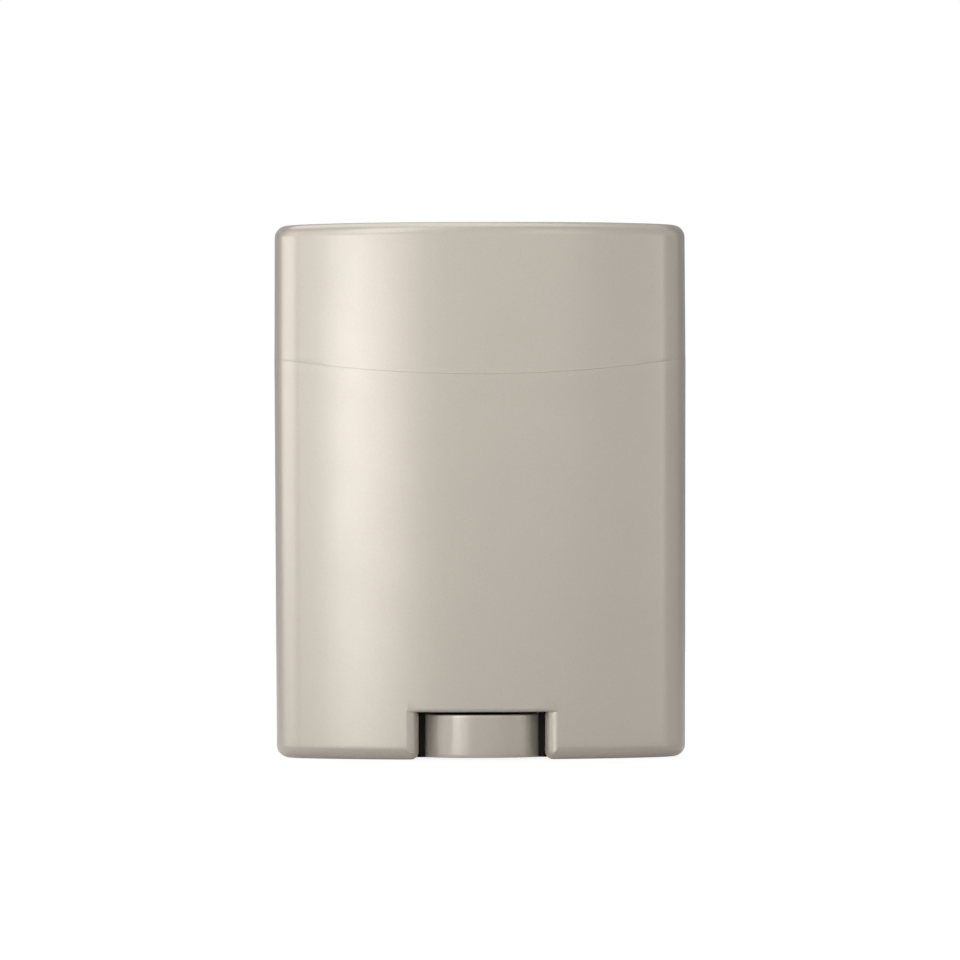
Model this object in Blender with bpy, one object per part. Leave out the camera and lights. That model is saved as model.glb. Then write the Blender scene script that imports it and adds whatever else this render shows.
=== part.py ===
"""Twist-up sunscreen stick: a lift-off cap, an oval body with a finger notch, and a dial that raises the bar.

Metres, +Z up. The origin is on the upright axis, at the plane that the feet stand on. The front faces -Y.
Heights are measured from that plane. An inset is how far a surface lies inside the container's plan outline.
"""
from math import asin, cos, pi, radians, sin, sqrt

import bmesh
import bpy
from mathutils import Matrix

# Outside of the container
overall_width = 0.057
overall_depth = 0.023
overall_height = 0.0739
side_radius = 0.0066  # plan radius of the two narrow sides
edge_radius = 0.00165  # rounding of the cap's top edge and of the body's bottom edge
rim_radius = 0.0002  # the small break of the edges at the seam
cap_height = 0.0209  # from the body's rim, at the middle of its front, to the top
seam_rise = 0.0023  # how much higher that rim is at the narrow sides
body_draft = 0.0002  # how much slimmer, all round, the body is at its base than at the seam
cap_draft = 0.00009  # how much slimmer, all round, the cap is at its top than at the seam

# Clearances
seam_gap = 0.0002  # between the rims of the cap and the body
fit_gap = 0.00025  # between pieces that stay together
cap_gap = 0.0003  # between the cap's liner and the neck
slide_gap = 0.0002  # between the platform's edge and the barrel
running_gap = 0.0003  # between pieces that turn or rise past each other
overrun = 0.001  # how far a cutter passes the face it cuts

# Walls
body_wall = 0.0015
foot_floor = 0.0015
cheek_wall = 0.0012  # the walls that run in from the notch's sides
cap_wall = 0.001
cap_top = 0.0012
liner_wall = 0.0007
neck_wall = 0.00085
barrel_floor = 0.0014
housing_plate = 0.00085
housing_wall = 0.0008

# Dial and the notch round it
dial_recess = 0.0008  # the dial's edge lies this far behind the middle of the faces
dial_height = 0.00591
dial_lift = 0.00034  # the dial's underside clears the table by this much
dial_wall = 0.001
dial_floor = 0.0011
dial_rounding = 0.00035
hub_radius = 0.0031
window_half = 0.00767  # half the width of the dial that shows between the walls of its well
notch_side_gap = 0.001  # each notch is this much wider than that at each side
notch_head_gap = 0.0003  # between the dial's top and the notch's ceiling
notch_rounding = 0.00186  # rounding of the notch's upright edges
notch_crease = 0.00007  # the rounding starts with a faint crease this deep
foot_rounding = 0.0011  # rounding of the notch's lower edges
ceiling_rounding = 0.00044
well_gap = 0.00035  # between the dial and the well it turns in
well_lift = 0.0003  # the well's lower edge clears the table by this much

# Neck, beads and bar
neck_height = 0.006  # the mouth above the seam at the middle of the front
bead_height = 0.0007
bead_depth = 0.0001
neck_bead_drop = 0.001  # from the mouth down to the middle of the neck's bead
liner_bead_drop = 0.001  # from the neck's bead down to the liner's
mouth_rounding = 0.0003
bar_recess = 0.0048  # the bar's top lies this far below the mouth when the stick is new
bar_dome = 0.0024  # the bar's top is this much lower at its rim than in its middle

# Spindle, platform and seal
screw_crest = 0.003  # outer radius of the screw's thread
screw_root = 0.002  # radius of its core, and of the shaft below it
pitch = 0.003
ridge_root_share = 0.5  # the ridge's width at its root, as a share of the pitch
ridge_crest_share = 0.24
thread_play = 0.00035  # play between the flanks of screw and nut
thread_runout = 0.00025  # plain core between the flange and the thread
screw_cover = 0.0022  # thickness of bar above the end of its bore
tip_height = 0.0012
flange_radius = 0.0036
flange_height = 0.0007
drive_width = 0.0027  # across the flats of the spindle's square end
nut_wall = 0.00115
nut_margin = 0.0004  # nut beyond the two ends of its ridge
platform_height = 0.0014
skirt_height = 0.0009
skirt_wall = 0.0008
rib_offset = 0.0135  # from the axis to the middle of each rib
rib_length = 0.007
rib_height = 0.004
rib_wall = 0.0012
ring_section = 0.0008  # thickness of the sealing ring

# Counts
front_steps = 12
side_steps = 10
fillet_steps = 4
round_steps = 40
thread_steps = 16
taper_steps = 2
ring_steps = 24
ring_section_steps = 8
sharp_angle = radians(30)  # faces that meet at more than this are shaded apart
nut_turns = 1
dome_ring_shares = (1.0, 0.9, 0.7, 0.4, 0.15)  # sizes of the rings of the bar's dome

# Plan outline, drawn with four arcs
half_width = overall_width / 2
half_depth = overall_depth / 2
side_centre = half_width - side_radius
front_radius = (side_centre**2 + half_depth**2 - side_radius**2) / (2 * (half_depth - side_radius))
front_centre = front_radius - half_depth
front_half_angle = asin(side_centre / (front_radius - side_radius))

# Insets of the nested walls
liner_outer = cap_wall + fit_gap
liner_inner = liner_outer + liner_wall
neck_inset = liner_inner + cap_gap
bore_inset = neck_inset + neck_wall
barrel_inset = body_wall + fit_gap
platform_inset = bore_inset + slide_gap
bar_inset = bore_inset + fit_gap

# Heights, stacked from the table upwards
seam_height = overall_height - cap_height
dial_top = dial_lift + dial_height
notch_top = dial_top + notch_head_gap
plate_bottom = dial_top + running_gap
plate_top = plate_bottom + housing_plate
cheek_top = plate_bottom - fit_gap
barrel_bottom = plate_top + fit_gap
barrel_floor_top = barrel_bottom + barrel_floor
flange_bottom = barrel_floor_top + running_gap
flange_top = flange_bottom + flange_height
platform_bottom = flange_top + running_gap
platform_top = platform_bottom + platform_height
bar_bottom = platform_top + fit_gap
mouth = seam_height + neck_height
bar_top = mouth - bar_recess
bore_top = bar_top - screw_cover
screw_top = bore_top - running_gap
liner_ceiling = overall_height - cap_top - fit_gap - liner_wall
neck_bead = mouth - neck_bead_drop
liner_bead = neck_bead - liner_bead_drop

# Half width of the notches, and radii of the round pieces
notch_half = window_half + notch_side_gap
dial_radius = half_depth - dial_recess
well_inner = dial_radius + well_gap
well_outer = well_inner + housing_wall
well_hole = well_outer + fit_gap
nut_root = screw_crest + running_gap
nut_crest = screw_root + running_gap
nut_outer = nut_root + nut_wall
bar_bore = screw_crest + running_gap
shaft_hole = screw_root + running_gap
seal_radius = screw_root + fit_gap + ring_section / 2
seal_seat_radius = seal_radius + ring_section / 2 + fit_gap
seal_seat_depth = ring_section + fit_gap

# Thread widths: the nut's ridge fills the screw's groove but for the play
ridge_root = pitch * ridge_root_share
ridge_crest = pitch * ridge_crest_share
ridge_slope = (ridge_root - ridge_crest) / (screw_crest - screw_root)
nut_ridge_crest = pitch - ridge_root + ridge_slope * (nut_crest - screw_root) - 2 * thread_play
nut_ridge_root = nut_ridge_crest + ridge_slope * (nut_root - nut_crest)
thread_start = flange_top + thread_runout + ridge_root / 2
screw_turns = int((screw_top - tip_height - ridge_root - thread_start) / pitch)
nut_start = thread_start + pitch / 2
nut_top = nut_start + nut_turns * pitch + nut_ridge_root / 2 + nut_margin


def clear_scene():
    for item in list(bpy.data.objects):
        bpy.data.objects.remove(item, do_unlink=True)


def seam(x):
    """Height of the body's rim at x: one shallow arc seen from the front."""
    sweep_radius = (half_width**2 + seam_rise**2) / (2 * seam_rise)
    return seam_height + sweep_radius - sqrt(sweep_radius**2 - x**2)


def body_inset(z):
    return body_draft * (1 - z / (seam_height + seam_rise))


def cap_inset(z):
    return cap_draft * (z - seam_height) / (overall_height - seam_height)


def arc(centre_x, centre_y, radius, start, end, steps):
    """Points of an arc without its last one."""
    angles = [start + (end - start) * step / steps for step in range(steps)]
    return [(centre_x + radius * cos(angle), centre_y + radius * sin(angle)) for angle in angles]


def oval(inset):
    """The plan outline, anticlockwise, drawn in by an inset."""
    turn = pi / 2 - front_half_angle
    side = side_radius - inset
    front = front_radius - inset
    right_side = arc(side_centre, 0, side, -turn, turn, side_steps)
    back = arc(0, -front_centre, front, turn, pi - turn, front_steps)
    left_side = arc(-side_centre, 0, side, pi - turn, pi + turn, side_steps)
    face = arc(0, front_centre, front, pi + turn, 2 * pi - turn, front_steps)
    return right_side + back + left_side + face


def oval_ring(inset, height):
    """A closed ring of the plan outline, level, or at a height that is a function of x."""
    level = height if callable(height) else lambda x: height
    return [(x, y, level(x)) for x, y in oval(inset)]


def circle_ring(radius, height, steps):
    return [(x, y, height) for x, y in arc(0, 0, radius, 0, 2 * pi, steps)]


def square_ring(width, height, steps):
    """A square with the same number of points as a circle, so that the two can be joined."""
    ring = []
    for x, y in arc(0, 0, 1, 0, 2 * pi, steps):
        reach = width / 2 / max(abs(x), abs(y))
        ring.append((x * reach, y * reach, height))
    return ring


def quarter_turn(steps):
    """Pairs (sine, cosine) from 0 to a quarter turn."""
    return [(sin(pi / 2 * step / steps), cos(pi / 2 * step / steps)) for step in range(steps + 1)]


def finish_mesh(name, mesh_builder):
    bmesh.ops.recalc_face_normals(mesh_builder, faces=mesh_builder.faces)
    mesh = bpy.data.meshes.new(name)
    mesh_builder.to_mesh(mesh)
    mesh_builder.free()
    mesh.shade_smooth()
    mesh.set_sharp_from_angle(angle=sharp_angle)
    item = bpy.data.objects.new(name, mesh)
    bpy.context.scene.collection.objects.link(item)
    return item


def bridge(builder, lower, upper):
    """Quads between two closed rings of vertices."""
    count = len(lower)
    for index in range(count):
        following = (index + 1) % count
        builder.faces.new((lower[index], lower[following], upper[following], upper[index]))


def skin(name, rings, joined=False):
    """A solid through a row of rings, capped at both ends or joined from the last ring to the first."""
    builder = bmesh.new()
    loops = [[builder.verts.new(point) for point in ring] for ring in rings]
    for lower, upper in zip(loops, loops[1:]):
        bridge(builder, lower, upper)
    if joined:
        bridge(builder, loops[-1], loops[0])
    else:
        builder.faces.new(loops[0])
        builder.faces.new(loops[-1])
    return finish_mesh(name, builder)


def block(name, low, high):
    """A box between two corners."""
    corners = [(low[0], low[1]), (high[0], low[1]), (high[0], high[1]), (low[0], high[1])]
    return skin(name, [[(x, y, z) for x, y in corners] for z in (low[2], high[2])])


def rod(name, radius, bottom, top):
    return skin(name, [circle_ring(radius, bottom, round_steps), circle_ring(radius, top, round_steps)])


def combine(target, tool, operation):
    """Cuts or joins with another solid, which is then only a guide."""
    change = target.modifiers.new(tool.name, "BOOLEAN")
    change.operation = operation
    change.object = tool
    tool.hide_render = True
    tool.display_type = "WIRE"


def colour(item, name, base, roughness, metallic=0.0):
    material = bpy.data.materials.get(name) or bpy.data.materials.new(name)
    material.use_nodes = True
    shader = material.node_tree.nodes["Principled BSDF"]
    shader.inputs["Base Color"].default_value = (*base, 1.0)
    shader.inputs["Roughness"].default_value = roughness
    shader.inputs["Metallic"].default_value = metallic
    item.data.materials.append(material)


def champagne(item):
    colour(item, "champagne_paint", (0.56, 0.51, 0.45), 0.35, 0.6)


def natural_plastic(item):
    colour(item, "natural_plastic", (0.78, 0.76, 0.71), 0.45)


def set_origin(item, height):
    """Puts the origin on the axis at a height and leaves the shape where it is."""
    item.data.transform(Matrix.Translation((0, 0, -height)))
    item.location.z = height


def carry(name, members):
    """An empty on the axis that carries the pieces which move together."""
    frame = bpy.data.objects.new(name, None)
    bpy.context.scene.collection.objects.link(frame)
    for member in members:
        member.parent = frame


def make_cap_shell():
    rings = []
    for along, down in quarter_turn(fillet_steps):
        height = overall_height - edge_radius * (1 - down)
        rings.append(oval_ring(cap_inset(height) + edge_radius * (1 - along), height))
    rim = seam_gap + rim_radius
    rings.append(oval_ring(0, lambda x: seam(x) + rim))
    rings.append(oval_ring(rim_radius, lambda x: seam(x) + seam_gap))
    rings.append(oval_ring(cap_wall - rim_radius, lambda x: seam(x) + seam_gap))
    rings.append(oval_ring(cap_wall, lambda x: seam(x) + rim))
    ceiling = overall_height - cap_top
    corner = max(edge_radius - cap_wall, rim_radius)
    rings.append(oval_ring(cap_wall, ceiling - corner))
    rings.append(oval_ring(cap_wall + corner, ceiling))
    cap = skin("cap_shell", rings)
    champagne(cap)
    set_origin(cap, seam_height)
    return cap


def make_cap_liner():
    top = liner_ceiling + liner_wall
    corner = max(edge_radius - cap_wall, rim_radius)
    lower_rim = seam_gap + 2 * rim_radius + fit_gap
    rings = [oval_ring(liner_outer + corner, top), oval_ring(liner_outer, top - corner)]
    rings.append(oval_ring(liner_outer, lambda x: seam(x) + lower_rim))
    rings.append(oval_ring(liner_inner, lambda x: seam(x) + lower_rim))
    rings.append(oval_ring(liner_inner, liner_bead - bead_height / 2))
    rings.append(oval_ring(liner_inner + bead_depth, liner_bead))
    rings.append(oval_ring(liner_inner, liner_bead + bead_height / 2))
    rings.append(oval_ring(liner_inner, liner_ceiling - corner))
    rings.append(oval_ring(liner_inner + corner, liner_ceiling))
    liner = skin("cap_liner", rings)
    natural_plastic(liner)
    set_origin(liner, seam_height)
    return liner


def notch_outline(draw_in, outward):
    """Plan outline of a notch on one face, flared by the rounding of its upright edges."""
    surface = body_inset(notch_top / 2) - notch_crease
    centre_x = notch_half + notch_rounding
    reach = front_radius - surface - notch_rounding
    lean = asin(centre_x / reach)
    centre_y = sqrt(reach**2 - centre_x**2) - front_centre
    radius = notch_rounding - draw_in
    side = [(notch_half + draw_in, 0)]
    side += arc(centre_x, centre_y, radius, pi, pi / 2 - lean, fillet_steps)
    edge = radius + draw_in + overrun
    side.append((centre_x + radius * sin(lean), centre_y + radius * cos(lean)))
    side.append((centre_x + edge * sin(lean), centre_y + edge * cos(lean)))
    side.append((centre_x + edge * sin(lean), half_depth + edge))
    return [(x, outward * y) for x, y in side] + [(-x, outward * y) for x, y in reversed(side)]


def notch_cutter(name, outward):
    """The space of one notch: it widens at its foot, where the lower edges are rounded."""
    levels = [(-overrun, foot_rounding)]
    for along, down in quarter_turn(fillet_steps):
        levels.append((foot_rounding * (1 - down), foot_rounding * (1 - along)))
    levels.append((notch_top, 0))
    rings = [[(x, y, z) for x, y in notch_outline(draw_in, outward)] for z, draw_in in levels]
    return skin(name, rings)


def ceiling_cutter(name, outward):
    """Rounds the edge between the notch's ceiling and the face of the body."""
    surface = front_radius - body_inset(notch_top)
    spread = asin((notch_half + notch_rounding) / surface)
    rings = []
    for along, down in quarter_turn(fillet_steps):
        inner = surface - ceiling_rounding * (1 - along)
        height = notch_top + ceiling_rounding * (1 - down)
        band = arc(0, -front_centre, inner, pi / 2 - spread, pi / 2 + spread, front_steps)
        band += arc(0, -front_centre, surface + overrun, pi / 2 + spread, pi / 2 - spread, front_steps)
        rings.append([(x, outward * y, height) for x, y in band])
    foot = [(x, y, notch_top - ceiling_rounding) for x, y, z in rings[0]]
    return skin(name, [foot] + rings)


def add_cheeks(body, face, outward):
    """Walls that run in from the notch's sides towards the dial's well."""
    inner_end = sqrt(well_hole**2 - notch_half**2) + fit_gap
    outer_end = half_depth - body_wall / 2 - notch_half**2 / front_radius / 2
    ys = sorted((outward * inner_end, outward * outer_end))
    for name, side in (("left", -1), ("right", 1)):
        xs = sorted((side * notch_half, side * (notch_half + cheek_wall)))
        cheek = block(f"cheek_{face}_{name}", (xs[0], ys[0], foot_floor / 2), (xs[1], ys[1], cheek_top))
        combine(body, cheek, "UNION")


def make_body_shell():
    rings = []
    for along, down in quarter_turn(fillet_steps):
        height = edge_radius * (1 - down)
        rings.append(oval_ring(body_inset(height) + edge_radius * (1 - along), height))
    rings.append(oval_ring(0, lambda x: seam(x) - rim_radius))
    rings.append(oval_ring(rim_radius, seam))
    rings.append(oval_ring(body_wall - rim_radius, seam))
    rings.append(oval_ring(body_wall, lambda x: seam(x) - rim_radius))
    rings.append(oval_ring(body_wall, foot_floor))
    body = skin("body_shell", rings)
    combine(body, rod("well_opening", well_hole, -overrun, foot_floor + overrun), "DIFFERENCE")
    for face, outward in (("front", -1), ("rear", 1)):
        add_cheeks(body, face, outward)
        combine(body, notch_cutter(f"{face}_notch", outward), "DIFFERENCE")
        combine(body, ceiling_cutter(f"{face}_notch_edge", outward), "DIFFERENCE")
    champagne(body)
    return body


def make_base_housing():
    join = plate_bottom + housing_plate / 2
    wall = skin(
        "well_wall",
        [
            circle_ring(well_inner, well_lift, round_steps),
            circle_ring(well_outer, well_lift, round_steps),
            circle_ring(well_outer, join, round_steps),
            circle_ring(well_inner, join, round_steps),
        ],
        joined=True,
    )
    reach = well_outer + overrun
    windows = block("well_windows", (-window_half, -reach, -overrun), (window_half, reach, plate_top))
    combine(wall, windows, "DIFFERENCE")
    plate = [oval_ring(barrel_inset, height) for height in (plate_bottom, plate_top)]
    housing = skin("base_housing", plate)
    combine(housing, wall, "UNION")
    spindle_way = rod("spindle_way", shaft_hole, plate_bottom - overrun, plate_top + overrun)
    combine(housing, spindle_way, "DIFFERENCE")
    colour(housing, "dark_plastic", (0.012, 0.009, 0.007), 0.6)
    set_origin(housing, plate_bottom)
    return housing


def make_inner_barrel():
    bottom_rim = barrel_inset + neck_wall / 2
    shoulder = rim_radius / 2
    rings = [oval_ring(bottom_rim, barrel_bottom)]
    rings.append(oval_ring(barrel_inset, barrel_bottom + neck_wall / 2))
    rings.append(oval_ring(barrel_inset, lambda x: seam(x) - shoulder))
    rings.append(oval_ring(neck_inset, lambda x: seam(x) - shoulder))
    rings.append(oval_ring(neck_inset, neck_bead - bead_height / 2))
    rings.append(oval_ring(neck_inset - bead_depth, neck_bead))
    rings.append(oval_ring(neck_inset, neck_bead + bead_height / 2))
    rings.append(oval_ring(neck_inset, mouth - mouth_rounding))
    rings.append(oval_ring(neck_inset + mouth_rounding, mouth))
    rings.append(oval_ring(bore_inset - mouth_rounding / 2, mouth))
    rings.append(oval_ring(bore_inset, mouth - mouth_rounding / 2))
    rings.append(oval_ring(bore_inset, barrel_floor_top))
    barrel = skin("inner_barrel", rings)
    seat_bottom = barrel_floor_top - seal_seat_depth
    seal_seat = rod("seal_seat", seal_seat_radius, seat_bottom, barrel_floor_top + overrun)
    combine(barrel, seal_seat, "DIFFERENCE")
    bearing = rod("spindle_bearing", shaft_hole, barrel_bottom - overrun, seat_bottom + overrun)
    combine(barrel, bearing, "DIFFERENCE")
    colour(barrel, "ivory_plastic", (0.80, 0.77, 0.70), 0.3)
    set_origin(barrel, barrel_bottom)
    return barrel


def make_dial():
    rings = []
    for along, down in quarter_turn(fillet_steps):
        radius = dial_radius - dial_rounding / 2 * (1 - along)
        rings.append(circle_ring(radius, dial_lift + dial_rounding / 2 * (1 - down), round_steps))
    for down, along in quarter_turn(fillet_steps):
        radius = dial_radius - dial_rounding * (1 - along)
        rings.append(circle_ring(radius, dial_top - dial_rounding * (1 - down), round_steps))
    hollow_radius = dial_radius - dial_wall
    hollow_bottom = dial_lift + dial_floor
    rings.append(circle_ring(hollow_radius, dial_top, round_steps))
    rings.append(circle_ring(hollow_radius, hollow_bottom, round_steps))
    rings.append(circle_ring(hub_radius, hollow_bottom, round_steps))
    rings.append(circle_ring(hub_radius, dial_top - dial_rounding, round_steps))
    dial = skin("dial", rings)
    socket_width = drive_width + fit_gap
    socket = [square_ring(socket_width, z, thread_steps) for z in (hollow_bottom, dial_top)]
    combine(dial, skin("drive_socket", socket), "DIFFERENCE")
    champagne(dial)
    set_origin(dial, dial_lift)
    return dial


def thread_wall(builder, root, crest, widths, start, turns, bottom, top):
    """A left-handed thread round the axis as one sheet. Returns its lowest and highest rings.

    The ridge rises out of the wall and sinks back into it at its two ends, so the sheet has no end faces.
    """
    root_width, crest_width = widths
    last = turns * thread_steps
    rows = []
    for step in range(last + 1):
        taper = min(step / taper_steps, (last - step) / taper_steps, 1)
        ridge = root + (crest - root) * taper
        angle = -2 * pi * step / thread_steps
        middle = start + pitch * step / thread_steps
        profile = (
            (root, middle - root_width / 2),
            (ridge, middle - crest_width / 2),
            (ridge, middle + crest_width / 2),
            (root, middle + root_width / 2),
        )
        rows.append([builder.verts.new((r * cos(angle), r * sin(angle), z)) for r, z in profile])
    ends = []
    for height in (bottom, top):
        angles = [-2 * pi * step / thread_steps for step in range(thread_steps)]
        ends.append([builder.verts.new((root * cos(a), root * sin(a), height)) for a in angles])
    low_end, high_end = ends
    for step in range(last):
        here, after = rows[step], rows[step + 1]
        for index in range(3):
            builder.faces.new((here[index], after[index], after[index + 1], here[index + 1]))
    for step in range(last - thread_steps):
        below, above = rows[step], rows[step + thread_steps]
        below_after, above_after = rows[step + 1], rows[step + thread_steps + 1]
        builder.faces.new((below[3], below_after[3], above_after[0], above[0]))
    for step in range(thread_steps):
        following = (step + 1) % thread_steps
        low_face = [low_end[step], low_end[following], rows[step + 1][0], rows[step][0]]
        if following == 0:
            low_face[2:2] = rows[0]
        builder.faces.new(low_face)
        row = last - thread_steps + step
        high_face = [rows[row][3], rows[row + 1][3], high_end[following], high_end[step]]
        if step == 0:
            high_face += reversed(rows[last])
        builder.faces.new(high_face)
    return low_end, high_end


def add_rings(builder, first, rings):
    """Carries a sheet on from one ring of vertices through further rings, and returns the last."""
    for ring in rings:
        following = [builder.verts.new(point) for point in ring]
        bridge(builder, first, following)
        first = following
    return first


def mirrored(ring):
    """A ring in the order that the left-handed thread's points run in."""
    return [ring[0]] + ring[:0:-1]


def make_lead_screw():
    builder = bmesh.new()
    thread_top = screw_top - tip_height
    widths = (ridge_root, ridge_crest)
    low_end, high_end = thread_wall(
        builder, screw_root, screw_crest, widths, thread_start, screw_turns, flange_top, thread_top
    )
    hollow_bottom = dial_lift + dial_floor
    shaft_end = dial_top + running_gap
    below = [
        circle_ring(flange_radius, flange_top, thread_steps),
        circle_ring(flange_radius, flange_bottom, thread_steps),
        circle_ring(screw_root, flange_bottom, thread_steps),
        circle_ring(screw_root, shaft_end, thread_steps),
        square_ring(drive_width, shaft_end, thread_steps),
        square_ring(drive_width, hollow_bottom + fit_gap, thread_steps),
    ]
    builder.faces.new(add_rings(builder, low_end, [mirrored(ring) for ring in below]))
    tip = [circle_ring(screw_root / 2, screw_top, thread_steps)]
    builder.faces.new(add_rings(builder, high_end, [mirrored(ring) for ring in tip]))
    screw = finish_mesh("lead_screw", builder)
    colour(screw, "white_acetal", (0.82, 0.82, 0.80), 0.35)
    set_origin(screw, flange_bottom)
    return screw


def make_spindle_o_ring():
    height = barrel_floor_top - ring_section / 2
    rings = []
    for x, z in arc(seal_radius, height, ring_section / 2, 0, 2 * pi, ring_section_steps):
        rings.append(circle_ring(x, z, ring_steps))
    seal = skin("spindle_o_ring", rings, joined=True)
    colour(seal, "seal_rubber", (0.03, 0.03, 0.03), 0.7)
    set_origin(seal, height)
    return seal


def rib_blocks(name, margin):
    """The platform's two anchoring ribs, or with a margin the pockets they sit in."""
    blocks = []
    for side in (-1, 1):
        middle = side * rib_offset
        half_length = rib_length / 2 + margin
        half_wall = rib_wall / 2 + margin
        low = (middle - half_length, -half_wall, platform_top - platform_height / 2)
        high = (middle + half_length, half_wall, platform_top + rib_height + margin)
        blocks.append(block(f"{name}_{'right' if side > 0 else 'left'}", low, high))
    return blocks


def make_nut():
    builder = bmesh.new()
    widths = (nut_ridge_root, nut_ridge_crest)
    low_end, high_end = thread_wall(
        builder, nut_root, nut_crest, widths, nut_start, nut_turns, platform_bottom, nut_top
    )
    outside = [circle_ring(nut_outer, z, thread_steps) for z in (platform_bottom, nut_top)]
    last = add_rings(builder, low_end, [mirrored(ring) for ring in outside])
    bridge(builder, last, high_end)
    return finish_mesh("nut", builder)


def make_elevator():
    skirt_bottom = platform_bottom - skirt_height
    rings = [oval_ring(platform_inset, platform_top), oval_ring(platform_inset, skirt_bottom)]
    rings.append(oval_ring(platform_inset + skirt_wall, skirt_bottom))
    rings.append(oval_ring(platform_inset + skirt_wall, platform_bottom))
    elevator = skin("elevator", rings)
    opening_radius = (nut_root + nut_outer) / 2
    opening = rod("nut_opening", opening_radius, platform_bottom - overrun, platform_top + overrun)
    combine(elevator, opening, "DIFFERENCE")
    combine(elevator, make_nut(), "UNION")
    for rib in rib_blocks("rib", 0):
        combine(elevator, rib, "UNION")
    natural_plastic(elevator)
    set_origin(elevator, platform_bottom)
    return elevator


def make_sunscreen_bar():
    outline = oval(bar_inset)
    bar_half_width = half_width - bar_inset
    bar_half_depth = half_depth - bar_inset
    rings = [oval_ring(bar_inset, bar_bottom)]
    for share in dome_ring_shares:
        ring = []
        for x, y in outline:
            spread = (share * x / bar_half_width) ** 2 + (share * y / bar_half_depth) ** 2
            ring.append((share * x, share * y, bar_top - bar_dome * spread))
        rings.append(ring)
    bar = skin("sunscreen_bar", rings)
    below = bar_bottom - overrun
    combine(bar, rod("spindle_bore", bar_bore, below, bore_top), "DIFFERENCE")
    nut_room = nut_outer + fit_gap
    combine(bar, rod("nut_room", nut_room, below, nut_top + fit_gap), "DIFFERENCE")
    for pocket in rib_blocks("rib_pocket", fit_gap):
        combine(bar, pocket, "DIFFERENCE")
    colour(bar, "sunscreen_balm", (0.86, 0.82, 0.74), 0.4)
    set_origin(bar, bar_bottom)
    return bar


clear_scene()
make_body_shell()
make_base_housing()
make_inner_barrel()
make_spindle_o_ring()
carry("cap_motion", [make_cap_shell(), make_cap_liner()])
carry("dial_motion", [make_dial(), make_lead_screw()])
carry("bar_motion", [make_elevator(), make_sunscreen_bar()])
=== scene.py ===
from math import asin, cos, pi, radians, sin, sqrt

import bmesh
import bpy
from mathutils import Matrix, Vector


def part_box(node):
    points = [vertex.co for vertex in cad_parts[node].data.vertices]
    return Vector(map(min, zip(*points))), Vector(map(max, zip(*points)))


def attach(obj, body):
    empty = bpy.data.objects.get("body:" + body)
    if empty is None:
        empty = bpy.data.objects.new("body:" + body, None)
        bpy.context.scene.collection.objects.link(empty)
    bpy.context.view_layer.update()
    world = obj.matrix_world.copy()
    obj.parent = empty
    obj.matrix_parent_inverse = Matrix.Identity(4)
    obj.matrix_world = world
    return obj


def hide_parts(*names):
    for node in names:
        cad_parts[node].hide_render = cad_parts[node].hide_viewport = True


# Looks of the twist-up sunscreen stick: fine shells in satin champagne paint, under a soft studio light.
# Metres, +Z up, the front faces -Y. Heights are measured from the plane that the feet stand on, and an
# inset is how far a surface lies inside the container's plan outline.

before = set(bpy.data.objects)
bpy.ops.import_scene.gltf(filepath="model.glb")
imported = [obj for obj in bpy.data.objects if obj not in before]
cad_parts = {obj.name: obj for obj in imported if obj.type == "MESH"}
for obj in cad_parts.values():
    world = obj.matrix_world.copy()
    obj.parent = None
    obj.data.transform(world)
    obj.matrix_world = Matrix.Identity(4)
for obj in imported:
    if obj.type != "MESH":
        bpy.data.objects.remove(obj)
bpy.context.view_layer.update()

# Sizes read from the frame
body_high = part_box("body_shell")[1]
cap_low, cap_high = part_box("cap_shell")
dial_low, dial_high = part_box("dial")
barrel_low, barrel_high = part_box("inner_barrel")
liner_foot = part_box("cap_liner")[0].z
bar_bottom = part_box("sunscreen_bar")[0].z
half_width = body_high.x
half_depth = body_high.y
overall_height = cap_high.z
dial_radius = dial_high.x
dial_lift = dial_low.z
dial_top = dial_high.z
barrel_bottom = barrel_low.z
mouth = barrel_high.z

# Container, as in the part's source
side_radius = 0.0066
edge_radius = 0.00165
body_draft = 0.0002
cap_draft = 0.00009
seam_gap = 0.0002
fit_gap = 0.00025
cap_gap = 0.0003
running_gap = 0.0003
overrun = 0.001
body_wall = 0.0015
foot_floor = 0.0015
cheek_wall = 0.0012
cap_wall = 0.001
cap_top = 0.0012
liner_wall = 0.0007
neck_wall = 0.00085
barrel_floor = 0.0014
housing_plate = 0.00085
housing_wall = 0.0008

# Dial and notch, as in the part's source
dial_wall = 0.001
dial_floor = 0.0011
dial_rounding = 0.00035
hub_radius = 0.0031
window_half = 0.00767
notch_side_gap = 0.001
notch_head_gap = 0.0003
notch_rounding = 0.00186
notch_crease = 0.00007
foot_rounding = 0.0011
ceiling_rounding = 0.00044
well_gap = 0.00035
well_lift = 0.0003

# Neck, beads, bar and spindle, as in the part's source
bead_height = 0.0007
bead_depth = 0.0001
neck_bead_drop = 0.001
liner_bead_drop = 0.001
mouth_rounding = 0.0003
bar_recess = 0.0048
bar_dome = 0.0024
screw_crest = 0.003
screw_root = 0.002
drive_width = 0.0027
screw_cover = 0.0022
ring_section = 0.0008

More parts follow.
